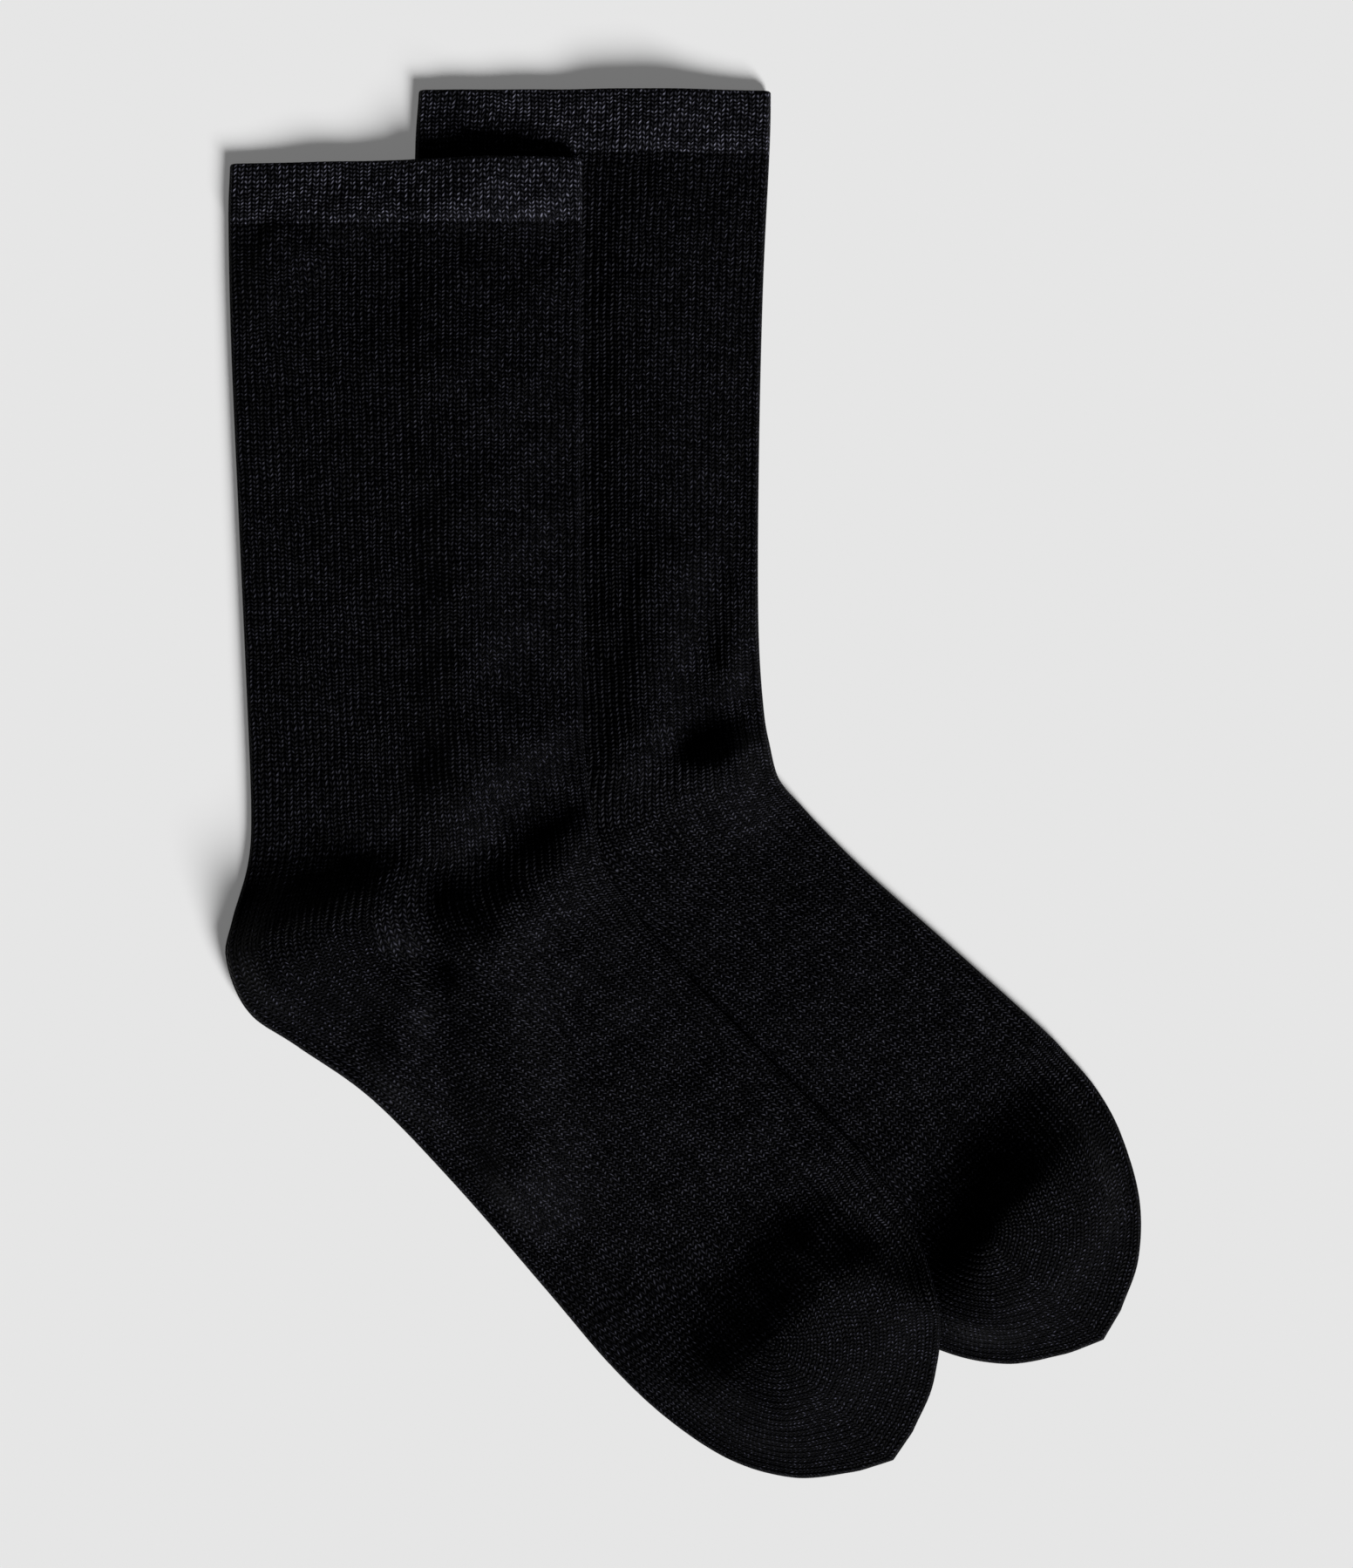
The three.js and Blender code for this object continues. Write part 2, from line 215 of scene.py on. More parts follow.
# How far stitches stray from their places, in wales and courses, and how many strays to a metre
STRAY = (0.7, 3.0, 0.0)
STRAY_SCALE = 110.0

# How many courses a stitch's leg slants for a wale across, and the middle and swing of its height
LEG_SLANT = 1.3
LOOP_MIDDLE = 0.55
LOOP_SWING = 0.45
LEGS_PER_WALE = 2.0

# How light a leg is at least, and how much lighter chance makes it. The fibres' number to a metre,
# and how far they stand up beside the stitches.
TONE_LEAST = 0.14
TONE_SPREAD = 1.5
FIBRE_SCALE = 2000.0
FIBRE_RISE = 0.35

# Painted shade between the stitches and a painted highlight on their tops: the yarn's colour there, as
# multiples of the one in the panel
GAP_PAINTED_SHADE = 0.08
CROWN_PAINTED_HIGHLIGHT = 13.5

# Each knit's sheen, the depth of its stitches in metres, and how few of them are lighter, by chance and by
# a painted highlight on their tops
KNITS = {
    "welt": {"sheen": 0.012, "relief": 0.0005, "fleck": 2.0},
    "leg": {"sheen": 0.006, "relief": 0.0005, "fleck": 2.0},
    "foot": {"sheen": 0.006, "relief": 0.0005, "fleck": 2.0},
    "pocket": {"sheen": 0.006, "relief": 0.0009, "fleck": 3.0},
}

# The floor's side in metres, and how much its paint varies
FLOOR_SIZE = 30.0
FLOOR_SHADES = (0.995, 1.005)

# The camera's sensor, in millimetres
SENSOR_HEIGHT = 36


def linear_rgb(code):
    """An sRGB hex colour as linear values."""
    values = [int(code[n : n + 2], 16) / 255 for n in (1, 3, 5)]
    return [v / 12.92 if v <= 0.04045 else ((v + 0.055) / 1.055) ** 2.4 for v in values]


def as_colour(name, description, code):
    return bpy.props.FloatVectorProperty(
        name=name, description=description, subtype="COLOR", size=3, min=0, max=1, default=linear_rgb(code)
    )


def as_length(name, description, millimetres):
    return bpy.props.FloatProperty(
        name=name, description=description, default=millimetres * MM, unit="LENGTH", precision=5
    )


def as_angle(name, description, degrees):
    return bpy.props.FloatProperty(
        name=name, description=description, default=math.radians(degrees), subtype="ANGLE"
    )


def as_count(name, description, count, least):
    return bpy.props.IntProperty(name=name, description=description, default=count, min=least)


class SockKnit(bpy.types.PropertyGroup):
    """How the cloth is knitted."""

    wall: as_length("Cloth", "Thickness of one layer of plain knit", 1.3)
    welt_wall: as_length("Welt", "Thickness of the double band at the cuff", 1.6)
    slit: as_length("Slit", "Room between the two layers of a sock that lies flat", 0.6)
    course: as_length("Course", "Height of a stitch", 1.25)
    groove: as_length("Groove", "Depth of the groove between two wales", 0.26)
    row: as_length("Row", "Length of the grid's cells along the sock", 2.0)
    wales: as_count("Wales", "Columns of stitches on each face", 48, 8)
    cells: as_count("Cells", "Cells of the grid across a wale", 4, 2)


class SockColours(bpy.types.PropertyGroup):
    """Colours of the yarn and of the surface they lie on."""

    leg: as_colour("Leg", "Yarn of the leg", "#0e0e12")
    foot: as_colour("Foot", "Yarn of the foot", "#111115")
    pocket: as_colour("Pockets", "Yarn of the heel and toe pockets", "#131318")
    welt: as_colour("Welt", "Yarn of the cuff's band", "#222228")
    floor: as_colour("Floor", "The surface they lie on", "#e6e6e6")


class SockStage(bpy.types.PropertyGroup):
    """Camera and lights."""

    view_height: as_length("View height", "Height of the picture on the surface", 450)
    view_x: as_length("View X", "Middle of the picture", -2.0)
    view_y: as_length("View Y", "Middle of the picture", 0.1)
    lens: bpy.props.FloatProperty(name="Lens", description="Focal length in millimetres", default=85)
    light_height: as_angle("Light height", "The key light above the surface", 26)
    light_turn: as_angle("Light turn", "The way to the key light, from +X", -56)
    light_spread: as_angle("Light spread", "How wide the key light looks", 22)
    key: bpy.props.FloatProperty(name="Key", description="The key light's share on the floor", default=0.78)
    glow: bpy.props.FloatProperty(name="Glow", description="The share of the lit board itself", default=0.2)
    ambient: bpy.props.FloatProperty(name="Ambient", description="The share from all round", default=0.02)


def smooth(values):
    v = np.clip(values, 0, 1)
    return v * v * (3 - 2 * v)


def section(name):
    return SECTION_NAMES.index(name)


def length_of(vectors):
    return np.sqrt((vectors**2).sum(-1))


def way_along(points):
    """The way along a line of points, from its first one."""
    return np.r_[0, np.cumsum(length_of(np.diff(points, axis=0)))]


def rotated(points, angle):
    c, s = np.cos(angle), np.sin(angle)
    x, y = points[..., 0], points[..., 1]
    return np.stack((x * c - y * s, x * s + y * c), -1)


def lay(sock, points, rows):
    """Points of a sock's plan, moved to where it lies."""
    place = LAYS[sock]
    first = section(TURN_FROM)
    share = smooth((rows - first) / (section(TURN_TO) - first))
    turn = place["leg_turn"] + (place["foot_turn"] - place["leg_turn"]) * share
    return rotated(points, np.radians(turn)) + np.array(place["heel"])


def fold_points(sock, end, rows):
    """The back fold (end 0) or the front fold (end 1) at section rows, on a smooth curve."""
    ends = np.array([folds[end] for folds in SECTIONS.values()], float)
    knots = np.vstack((2 * ends[0] - ends[1], ends, 2 * ends[-1] - ends[-2]))
    rows = np.clip(np.asarray(rows, float), 0, LAST)
    n = np.minimum(rows.astype(int), LAST - 1)
    w = (rows - n)[..., None]
    before, start, stop, after = (knots[n + i] for i in range(4))
    leave, arrive = (stop - before) / 2, (after - start) / 2
    points = start + leave * w
    points += (3 * (stop - start) - 2 * leave - arrive) * w**2
    points += (2 * (start - stop) + leave + arrive) * w**3
    return lay(sock, points, rows)


def outline_of(sock):
    """The folded edge from the rim down the back, round the toe and up the front."""
    rows = np.linspace(0, LAST, SECTION_STEPS * LAST + 1)
    back, front = (fold_points(sock, end, rows) for end in (0, 1))
    return np.vstack((back, lay(sock, TOE_CORNER, LAST), front[::-1]))


OUTLINES = {sock: outline_of(sock) for sock in LAYS}


def middle_of_pair():
    """The middle of the pair's box in the tables, which is the frame's origin."""
    points = np.vstack(list(OUTLINES.values()))
    return (points.min(0) + points.max(0)) / 2


ORIGIN = middle_of_pair()


def distance_to(points, line):
    """Distance of each point to a line of straight stretches."""
    nearest = np.full(points.shape[:-1], np.inf)
    for start, stop in zip(line[:-1], line[1:]):
        way = stop - start
        offset = points - start
        share = np.clip((offset @ way) / max(way @ way, MERGE), 0, 1)
        nearest = np.minimum(nearest, length_of(offset - share[..., None] * way))
    return nearest


def is_inside(points, line):
    inside = np.zeros(points.shape[:-1], bool)
    x, y = points[..., 0], points[..., 1]
    for a, b in zip(line, np.roll(line, -1, 0)):
        if a[1] != b[1]:
            spans = (a[1] > y) != (b[1] > y)
            inside ^= spans & (x < a[0] + (y - a[1]) / (b[1] - a[1]) * (b[0] - a[0]))
    return inside


def swell_at(swell, points):
    local = rotated(points - np.array(swell["at"]), -math.radians(swell["turn"]))
    reach = np.hypot(local[..., 0] / swell["along"], local[..., 1] / swell["across"])
    return swell["rise"] * smooth((1 - reach) / swell["flank"])


def crease_at(crease, points):
    start = np.array(crease["from"], float)
    way = np.array(crease["to"], float) - start
    offset = points - start
    along = (offset @ way) / (way @ way)
    aside = (way[0] * offset[..., 1] - way[1] * offset[..., 0]) / math.hypot(*way)
    width = np.where(aside > 0, crease["left"], crease["right"])
    ends = smooth(np.minimum(along, 1 - along) / CREASE_FADE + 0.5)
    return crease["rise"] * ends * smooth(1 - np.abs(aside) / width)


def ripples_at(points):
    """Low crossing waves, from none to twice the rise of each."""
    rise = 0
    for n, (length, turn) in enumerate(RIPPLES):
        way = points @ np.array((math.cos(math.radians(turn)), math.sin(math.radians(turn))))
        rise = rise + RIPPLE_RISE * (1 + np.sin(2 * math.pi * way / length + n))
    return rise


def flat_thickness():
    """Both layers of a sock that lies flat, in millimetres."""
    knit = bpy.context.scene.sock_knit
    return (2 * knit.wall + knit.slit) / MM


def thickness_at(sock, points, flat):
    """Thickness of the whole sock: both layers, the slit, and what swells it."""
    rise = sum(swell_at(s, points) for s in SWELLS[sock])
    rise = np.maximum(rise + sum(crease_at(c, points) for c in CREASES[sock]), 0)
    room = FULLEST - FULL_FROM
    rise = np.where(rise < FULL_FROM, rise, FULL_FROM + room * np.tanh((rise - FULL_FROM) / room))
    inside = distance_to(points, OUTLINES[sock])
    puff = sum(crease_at(c, points) for c in PUFFS[sock]) + ripples_at(points)
    if sock == "top_sock":
        puff += eased_at(points)
    return flat + rise + puff * smooth(inside / PUFF_EDGE)


def beside_under_sock(points):
    """How far points are outside the under sock's folded edge, or less than nought over that sock."""
    line = OUTLINES["under_sock"]
    distance = distance_to(points, np.vstack((line, line[:1])))
    return np.where(is_inside(points, line), -distance, distance)


def lifted_at(outside):
    """How much of the under sock's height the cloth beside it is lifted."""
    return smooth(1 - (outside - DRAPE_START) / DRAPE_RUN)


def eased_at(points):
    """How much higher the upper layer runs down beside the under sock than the lower one."""
    outside = beside_under_sock(points)
    slope = np.clip(1 - (outside - EASE_START) / EASE_REACH, 0, 1)
    upper = EASE_SHARE * slope + (1 - EASE_SHARE) * smooth((EASE_START - outside) / EASE_RUN)
    return (flat_thickness() + REST_GAP) * np.maximum(upper - lifted_at(outside), 0)


def ground_at(sock, points):
    """Height of what a sock lies on: the surface, or the under sock."""
    if sock == "under_sock":
        return 0
    under = thickness_at("under_sock", points, flat_thickness())
    return (under + REST_GAP) * lifted_at(beside_under_sock(points))


def cloth_points(sock, plan, layer, flat, inset):
    """Points of the cloth over a plan, rounded at the folds. inset is the wall, for an inner face."""
    half = thickness_at(sock, plan, flat) / 2
    radius = half - inset
    depth = np.clip(distance_to(plan, OUTLINES[sock]) - inset, 0, radius)
    rise = np.sqrt(radius**2 - (radius - depth) ** 2)
    height = ground_at(sock, plan) + half + layer * rise
    return np.concatenate((plan, height[..., None]), -1)


def shares_across(rows, width, around):
    """Shares of sections from the back fold, for even shares of the way over the rounded cloth."""
    radius = flat_thickness() / 2
    arc = math.pi * radius / 2
    length = (width - 2 * radius + 2 * arc)[:, None]
    way = around[None, :] * length

    def depth(a):
        return np.where(a < arc, radius * (1 - np.cos(np.minimum(a, arc) / radius)), radius + a - arc)

    share = np.where(way < length / 2, depth(way), width[:, None] - depth(length - way)) / width[:, None]
    first = section(MIDDLE_FROM)
    shift = (TOE_MIDDLE - 0.5) * smooth((rows - first) / (section("toe_start") - first))
    return share + 4 * shift[:, None] * share * (1 - share)


def inset_shares(sock, rows, wall, width):
    """How much of each section the wall takes at its two folds."""
    across = fold_points(sock, 1, rows) - fold_points(sock, 0, rows)
    across /= length_of(across)[:, None]
    insets = []
    for end in (0, 1):
        way = fold_points(sock, end, np.minimum(rows + NEAR_ROW, LAST))
        way = way - fold_points(sock, end, np.maximum(rows - NEAR_ROW, 0))
        way /= length_of(way)[:, None]
        slant = np.abs(across[:, 0] * way[:, 1] - across[:, 1] * way[:, 0])
        insets.append(wall / np.maximum(slant, LEAST_SLANT) / width)
    return insets


def section_plan(sock, rows, around, wall=0):
    """Plan points at section rows, for shares of the way from the back fold to the front one."""
    back, front = (fold_points(sock, end, rows) for end in (0, 1))
    width = length_of(front - back)
    share = shares_across(rows, width, around)
    if wall:
        start, stop = inset_shares(sock, rows, wall, width)
        share = start[:, None] + share * (1 - start - stop)[:, None]
    return back[:, None] + share[..., None] * (front - back)[:, None]


def section_rows(first, last, spacing):
    """Section rows between two named sections, about a spacing apart at the longer fold."""
    rows = []
    for n in range(section(first), section(last)):
        steps = np.linspace(n, n + 1, SECTION_STEPS + 1)
        longest = max(way_along(fold_points("top_sock", end, steps))[-1] for end in (0, 1))
        count = math.ceil(longest / spacing)
        rows += [n + i / count for i in range(count)]
    return np.array(rows + [section(last)], float)


def thinned(rows, keep_to=0.0):
    """Rows for an inner face: all up to one section row, then fewer, and the last."""
    first, rest = rows[rows < keep_to], rows[rows >= keep_to]
    return np.r_[first, rest[:-1:INNER_ROW_STEP], rest[-1:]]


def courses_at(sock, rows, share):
    """Courses counted down the sock to section rows, along one share of the sections."""
    steps = np.linspace(0, LAST, COURSE_STEPS * LAST + 1)
    back, front = (fold_points(sock, end, steps) for end in (0, 1))
    way = way_along(back + share * (front - back))
    course = bpy.context.scene.sock_knit.course / MM
    return np.interp(rows, steps, way / course)[:, None]


def ring_columns():
    """Columns of the grid round the whole sock, in wales from the back fold over the upper face."""
    knit = bpy.context.scene.sock_knit
    return np.arange(0, 2 * knit.wales * knit.cells + 1) / knit.cells


def ring_places(columns):
    """The layer of each column, and its share of the way from the back fold."""
    around = columns / bpy.context.scene.sock_knit.wales % 2
    return np.where(around <= 1, 1, -1), np.where(around <= 1, around, 2 - around)


def grooved(points, places, is_ring, fade=1.0):
    """Presses the grooves between the wales into an outer face."""
    along = np.gradient(points, axis=0)
    around = np.gradient(points, axis=1)
    if is_ring:
        around[:, 0] = around[:, -1] = points[:, 1] - points[:, -2]
    normals = np.cross(along, around)
    normals /= np.maximum(length_of(normals), MERGE)[..., None]
    depth = bpy.context.scene.sock_knit.groove / MM * fade
    groove = depth * (0.5 + 0.5 * np.cos(2 * math.pi * places))
    return points - groove[:, None] * normals


def cut_of(face, notch=None):
    """Width round, length along and area of the cloth of a face, in metres, without its notch."""
    width = length_of(np.diff(face, axis=1)).sum(1).max()
    length = length_of(np.diff(face, axis=0)).sum(0).max()
    cells = length_of(np.cross(face[1:, 1:] - face[:-1, :-1], face[1:, :-1] - face[:-1, 1:])) / 2
    if notch:
        row, column = np.indices(cells.shape)
        cells = cells[~notch(row, row + 1, column)]
    return width * MM, length * MM, cells.sum() * MM**2


def close_grid(name, faces, courses, places, notch=None):
    """A closed piece of cloth from its outer face and its inner one turned round, grids of the same
    columns. Where a notch is given, its cells are left out and the sides are joined."""
    outer, inner = faces
    points = np.concatenate((outer, inner, outer[:1]))
    counts = np.concatenate((*courses, courses[0][:1]))
    rows, columns = points.shape[:2]
    mesh = bpy.data.meshes.new(name)
    bm = bmesh.new()
    bmesh.ops.create_grid(bm, x_segments=columns - 1, y_segments=rows - 1, size=1)
    bm.to_mesh(mesh)
    place = (points - np.append(ORIGIN, 0)) * MM
    mesh.vertices.foreach_set("co", place.reshape(-1).astype(np.float32))

    corners = np.empty(len(mesh.loops), np.int32)
    mesh.loops.foreach_get("vertex_index", corners)
    row, column = np.divmod(corners.reshape(-1, 4), columns)
    wale = np.floor(places[column].mean(1)) - math.floor(places[0])
    wale = np.minimum(wale.astype(int), counts.shape[1] - 1)
    stitches = np.stack((places[column], counts[row, wale[:, None]]), -1)
    mesh.uv_layers.new(name=STITCH_MAP).uv.foreach_set("vector", stitches.reshape(-1).astype(np.float32))
    is_inner = np.repeat(np.r_[np.zeros(len(outer)), np.ones(len(inner)), 0], columns)
    mesh.attributes.new("inner", "INT", "POINT").data.foreach_set("value", is_inner.astype(np.int32))

    bm.clear()
    bm.from_mesh(mesh)
    if notch:
        bm.faces.ensure_lookup_table()
        taken = notch(row.min(1), row.max(1), column.min(1))
        bmesh.ops.delete(bm, geom=[bm.faces[n] for n in np.flatnonzero(taken)], context="FACES")
    bmesh.ops.remove_doubles(bm, verts=bm.verts, dist=MERGE)
    layer = bm.verts.layers.int["inner"]
    sides = [e for e in bm.edges if e.is_boundary and e.verts[0][layer] == e.verts[1][layer]]
    if sides:
        bmesh.ops.bridge_loops(bm, edges=sides)
    bmesh.ops.recalc_face_normals(bm, faces=bm.faces)
    for face in bm.faces:
        face.smooth = True
    bm.to_mesh(mesh)
    bm.free()
    mesh.attributes.remove(mesh.attributes["inner"])
    mesh.set_sharp_from_angle(angle=SHARP_FROM)
    piece = bpy.data.objects.new(name, mesh)
    bpy.context.scene.collection.objects.link(piece)
    return piece


def declare(piece, node, material):
    """What a piece of cloth stands for, what it lies on, and its finish."""
    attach(piece, "root")
    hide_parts(node)
    piece.data.materials.append(material)


def knit_cuff(sock, material):
    """The cuff's double band: its rim is turned, and its lower edge eases into the leg."""
    knit = bpy.context.scene.sock_knit
    wall = knit.welt_wall / MM
    rows = section_rows("rim", "welt_end", WELT_ROW)
    rows[0] = wall / 2 / way_along(fold_points(sock, 0, np.array([0.0, 1.0])))[-1]
    inner_rows = thinned(rows)
    columns = ring_columns()
    layer, around = ring_places(columns)
    full = 2 * wall + knit.slit / MM
    eased = full - (full - flat_thickness()) * smooth((rows - section("welt_end") + WELT_EASE) / WELT_EASE)
    outer = cloth_points(sock, section_plan(sock, rows, around), layer, eased[:, None], 0)
    inner = cloth_points(sock, section_plan(sock, inner_rows, around, wall), layer, full, wall)
    cut = cut_of(outer)
    places = columns + 0.5
    outer = grooved(outer, places, True)

    beyond = outer[0] - outer[1]
    beyond *= (wall / 2 / length_of(beyond))[:, None]
    middle, arm = (outer[0] + inner[0]) / 2, (outer[0] - inner[0]) / 2
    turn = [middle + arm * math.cos(a) + beyond * math.sin(a) for a in map(math.radians, RIM_TURN)]
    courses = courses_at(sock, rows, COUNT_LINES["cuff"])
    turned = courses[0] - np.radians(RIM_TURN)[:, None] * wall / 2 / (knit.course / MM)
    faces = np.concatenate((turn, outer)), inner[::-1]
    inner_courses = courses_at(sock, inner_rows[::-1], COUNT_LINES["cuff"])
    counts = np.concatenate((turned, courses)), inner_courses
    piece = close_grid(f"{sock}_cuff_knit", faces, counts, places)
    declare(piece, f"{sock}_cuff", material)


def knit_leg(sock, material):
    """The leg, a plain tube."""
    knit = bpy.context.scene.sock_knit
    rows = section_rows("welt_end", "heel_top", knit.row / MM)
    knit_tube(sock, "leg", rows, thinned(rows), ring_columns(), material)


def knit_heel(sock, material):
    """The heel pocket, on the back wales of both faces."""
    knit = bpy.context.scene.sock_knit
    rows = section_rows("heel_top", "heel_end", knit.row / MM)
    edge = int(POCKET_EDGE * knit.cells)
    columns = np.arange(-edge, edge + 1) / knit.cells
    knit_tube(sock, "heel", rows, rows, columns, material)


def knit_foot(sock, material):
    """The foot, a tube with a notch where the heel pocket is let in."""
    knit = bpy.context.scene.sock_knit
    rows = section_rows("heel_top", "toe_start", knit.row / MM)
    inner_rows = thinned(rows, section("heel_end"))
    places = np.r_[rows, inner_rows[::-1], rows[0]]
    edge = int(POCKET_EDGE * knit.cells)
    last = 2 * knit.wales * knit.cells - edge

    def notch(first_row, last_row, column):
        in_rows = np.maximum(places[first_row], places[last_row]) <= section("heel_end")
        return in_rows & ((column < edge) | (column >= last))

    knit_tube(sock, "foot", rows, inner_rows, ring_columns(), material, notch)


def knit_tube(sock, part, rows, inner_rows, columns, material, notch=None):
    """A piece between two sections, over columns of the ring."""
    wall = bpy.context.scene.sock_knit.wall / MM
    layer, around = ring_places(columns)
    flat = flat_thickness()
    outer = cloth_points(sock, section_plan(sock, rows, around), layer, flat, 0)
    inner = cloth_points(sock, section_plan(sock, inner_rows, around, wall), layer, flat, wall)
    cut = cut_of(outer, notch)
    places = columns + 0.5
    is_ring = len(columns) == len(ring_columns())
    outer = grooved(outer, places, is_ring)
    if not is_ring:
        edges = (outer[:, [0, -1]] + inner[:, [0, -1]]) / 2
        outer, inner = (np.concatenate((edges[:, :1], face, edges[:, 1:]), 1) for face in (outer, inner))
        places = np.r_[places[0], places, places[-1]]
    faces = outer, inner[::-1]
    line = COUNT_LINES[part]
    counts = courses_at(sock, rows, line), courses_at(sock, inner_rows[::-1], line)
    piece = close_grid(f"{sock}_{part}_knit", faces, counts, places, notch)
    declare(piece, f"{sock}_{part}", material)


def toe_outline(sock):
    """Points of the toe's folded edge, from where it starts at the back, round the corner, to the
    front, about a row apart."""
    spacing = bpy.context.scene.sock_knit.row / MM
    steps = np.linspace(section("toe_start"), LAST, TOE_POINTS)
    corner = lay(sock, TOE_CORNER, LAST)[None]
    back = np.vstack((fold_points(sock, 0, steps), corner))
    front = np.vstack((corner, fold_points(sock, 1, steps[::-1])))
    parts = []
    for line in (back, front):
        way = way_along(line)
        places = np.linspace(0, way[-1], math.ceil(way[-1] / spacing) + 1)
        parts.append(np.stack([np.interp(places, way, line[:, n]) for n in (0, 1)], -1))
    return np.vstack((parts[0], parts[1][1:]))


def inset_edge(sock, edge, middle, wall):
    """Points on the way from an edge to a middle, as soon as they are a wall's thickness inside."""
    shares = np.linspace(0, INSET_REACH, INSET_STEPS + 1)
    ways = edge[:, None] + shares[:, None] * (middle - edge)[:, None]
    first = (distance_to(ways, OUTLINES[sock]) > wall).argmax(1)
    return ways[np.arange(len(edge)), first]


def knit_toe(sock, material):
    """The toe pocket, whose wales run round from the sole to the instep about a middle point."""
    knit = bpy.context.scene.sock_knit
    wall = knit.wall / MM
    first = np.array([section("toe_start")], float)
    half = knit.wales / 2
    columns = np.arange(-half * knit.cells, half * knit.cells + 1) / knit.cells
    layer = np.where(columns < 0, -1, 1)
    around = np.abs(columns) / knit.wales
    width = length_of(fold_points(sock, 1, first) - fold_points(sock, 0, first))
    from_back = shares_across(first, width, around)[0] / TOE_MIDDLE
    from_front = (1 - shares_across(first, width, 1 - around)[0]) / (1 - TOE_MIDDLE)
    edge = toe_outline(sock)
    middle = section_plan(sock, first, np.array([0.5]))[0, 0]
    turn = smooth(np.linspace(0, 1, len(edge)))[:, None]
    share = from_back + (from_front - from_back) * turn

    def plan_from(start, share):
        return start[:, None] + share[..., None] * (middle - start)[:, None]

    outer = cloth_points(sock, plan_from(edge, share), layer, flat_thickness(), 0)
    inset = inset_edge(sock, edge, middle, wall)
    inner = cloth_points(sock, plan_from(inset, share), layer, flat_thickness(), wall)
    cut = cut_of(outer)
    courses = np.cumsum(np.r_[np.zeros((1, len(columns))), length_of(np.diff(outer, axis=0))], 0)
    courses = courses[:, :: knit.cells] / (knit.course / MM) + courses_at(sock, first, COUNT_LINES["foot"])
    places = columns + 0.5
    outer = grooved(outer, places, False, smooth((half - np.abs(columns)) / GROOVE_FADE))
    outer[:, [0, -1]] = outer[:1, [0, -1]]
    thin = np.r_[np.arange(0, len(edge) - 1, INNER_ROW_STEP), len(edge) - 1]
    faces = outer, inner[thin][::-1]
    piece = close_grid(f"{sock}_toe_knit", faces, (courses, courses[thin][::-1]), places)
    declare(piece, f"{sock}_toe", material)


def add(tree, kind, inputs=None, **settings):
    """Adds a node. Its inputs are values or the sockets that feed them."""
    node = tree.nodes.new("ShaderNode" + kind)
    for key, value in settings.items():
        setattr(node, key, value)
    for key, value in (inputs or {}).items():
        if isinstance(value, bpy.types.NodeSocket):
            tree.links.new(value, node.inputs[key])
        else:
            node.inputs[key].default_value = value
    return node.outputs


